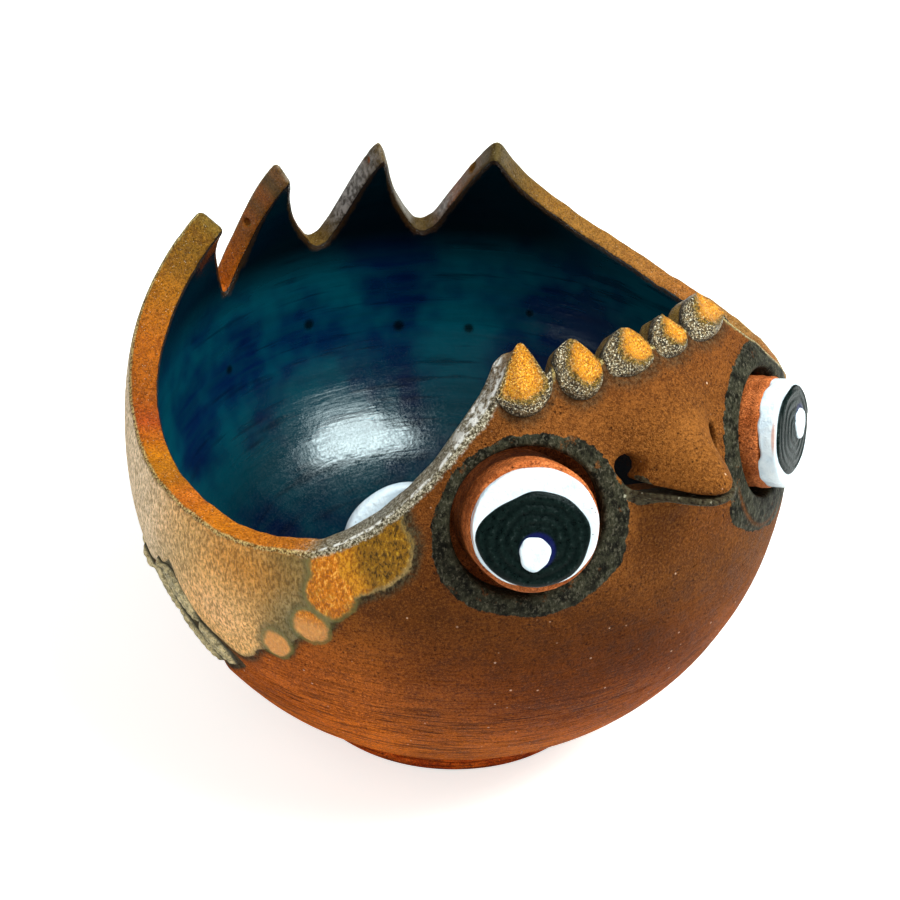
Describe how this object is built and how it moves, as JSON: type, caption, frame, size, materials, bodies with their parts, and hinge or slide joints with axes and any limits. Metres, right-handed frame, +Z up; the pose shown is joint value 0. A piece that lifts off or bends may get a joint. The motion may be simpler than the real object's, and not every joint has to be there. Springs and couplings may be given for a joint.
{
  "type": "yarn bowl",
  "caption": "Spherical thrown ceramic yarn bowl with an owl face: cut toothed rim, beak with yarn slot, crimped brow and loose turning eyes.",
  "frame": {"origin": "centre of the flat underside of the foot, on the table", "axes": "+Z up through the bowl, -Y towards the owl's face, +X towards the side of the right_ nodes (the viewer's right when facing the face)"},
  "size_m": [0.1504, 0.1584, 0.1248],
  "materials": {
    "bowl_shell": "unglazed fired terracotta outside, glossy blue glaze inside, speckled amber glaze on the rim",
    "foot": "burnished orange terracotta",
    "beak": "unglazed fired terracotta",
    "beak_lip": "dark oxide wash",
    "inner_pad": "glossy white glaze",
    "brow_tufts": "speckled amber and grey crystalline glaze",
    "wing_feathers": "grey-green crystalline glaze over low relief",
    "eye_flange": "unglazed fired terracotta",
    "eye_barrel": "unglazed fired terracotta",
    "eye_white": "glossy white glaze",
    "eye_pupil": "glossy dark green-black glaze",
    "eye_sparkle": "glossy white glaze"
  },
  "bodies": {
    "bowl": {"bowl_shell": "bowl_shell", "foot": "foot", "beak": "beak", "beak_lip": "beak_lip", "inner_pad": "inner_pad", "brow_tuft_outer_left": "brow_tufts", "brow_tuft_left": "brow_tufts", "brow_tuft_middle": "brow_tufts", "brow_tuft_right": "brow_tufts", "brow_tuft_outer_right": "brow_tufts", "left_wing_feathers": "wing_feathers", "right_wing_feathers": "wing_feathers"},
    "left_eye": {"left_eye_flange": "eye_flange", "left_eye_barrel": "eye_barrel", "left_eye_white": "eye_white", "left_eye_pupil": "eye_pupil", "left_eye_sparkle": "eye_sparkle"},
    "right_eye": {"right_eye_flange": "eye_flange", "right_eye_barrel": "eye_barrel", "right_eye_white": "eye_white", "right_eye_pupil": "eye_pupil", "right_eye_sparkle": "eye_sparkle"}
  },
  "joints": [
    {"name": "left_eye_turn", "type": "hinge", "parent": "bowl", "child": "left_eye", "pos_m": [-0.0277, -0.06079, 0.09405], "axis": [-0.3903, -0.7827, 0.4848], "continuous": true},
    {"name": "right_eye_turn", "type": "hinge", "parent": "bowl", "child": "right_eye", "pos_m": [0.03222, -0.05934, 0.09194], "axis": [0.4767, -0.8426, 0.2504], "continuous": true}
  ]
}
